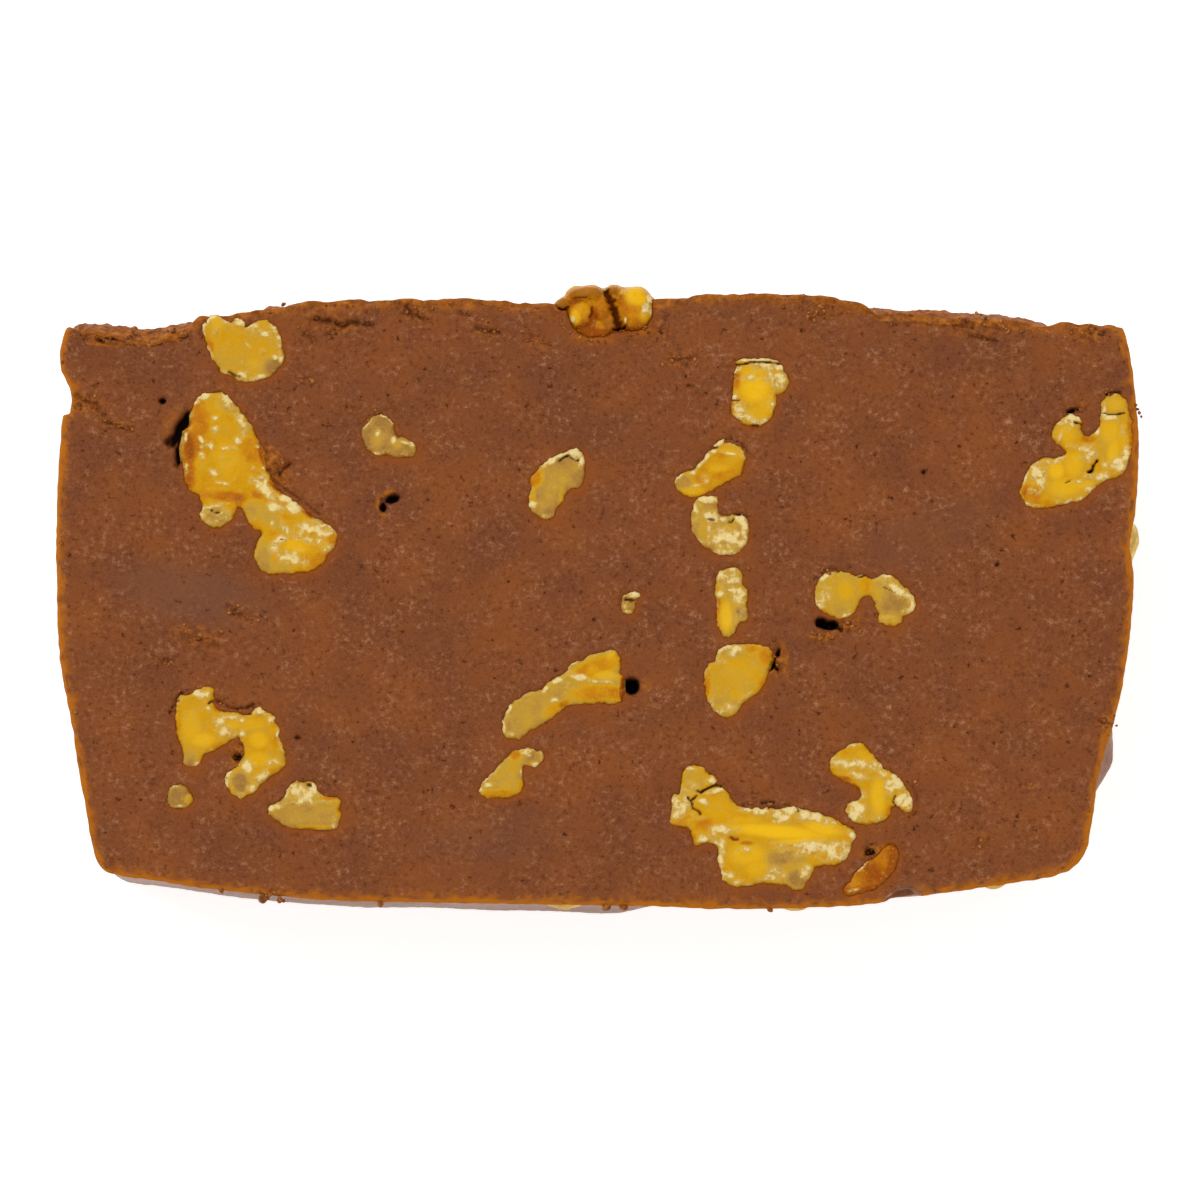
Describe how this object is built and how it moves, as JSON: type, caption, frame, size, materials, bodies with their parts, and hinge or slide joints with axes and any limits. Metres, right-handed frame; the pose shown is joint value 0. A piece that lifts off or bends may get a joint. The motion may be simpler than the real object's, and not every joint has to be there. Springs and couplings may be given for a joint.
{
  "type": "chocolate fudge slice",
  "caption": "Slice of chocolate fudge with walnut pieces in its cut faces, lying flat; a snack or display food.",
  "frame": {"origin": "middle of the underside, which is the back cut face", "axes": "+X along the slice's length, +Y towards its crusted top side, +Z out of its front cut face"},
  "size_m": [0.1006, 0.0578, 0.026],
  "materials": {
    "fudge": "satin milk-chocolate brown, with fine pale specks, small pores and an amber edge",
    "walnut": "waxy yellow to amber nut flesh, with flaky cream patches",
    "walnut_skin": "thin orange-brown nut skin with a soft shine"
  },
  "bodies": {
    "root": {"fudge": "fudge", "walnut_upper_left": "walnut", "walnut_long": "walnut", "walnut_bean_tan": "walnut", "walnut_bean_pale": "walnut", "walnut_upper_right": "walnut", "walnut_bean_amber": "walnut", "walnut_curl": "walnut", "walnut_stub": "walnut", "walnut_middle": "walnut", "walnut_twin": "walnut", "walnut_right_hook": "walnut", "walnut_lower_left": "walnut", "walnut_chip_left": "walnut", "walnut_mound": "walnut", "walnut_lower_centre": "walnut", "walnut_lower_chip": "walnut", "walnut_chip_centre": "walnut", "walnut_big": "walnut", "walnut_lower_right": "walnut", "walnut_crown": "walnut_skin", "walnut_skin": "walnut_skin", "walnut_right_wall": "walnut", "walnut_left_notch": "walnut", "walnut_base_wall": "walnut", "walnut_top_a": "walnut", "walnut_top_b": "walnut", "walnut_top_c": "walnut", "walnut_left_wall": "walnut", "walnut_right_low": "walnut", "walnut_base_b": "walnut", "walnut_base_c": "walnut", "walnut_back_a": "walnut", "walnut_back_b": "walnut", "walnut_back_c": "walnut", "walnut_back_d": "walnut", "walnut_back_e": "walnut", "walnut_back_f": "walnut", "walnut_back_g": "walnut"}
  },
  "joints": []
}
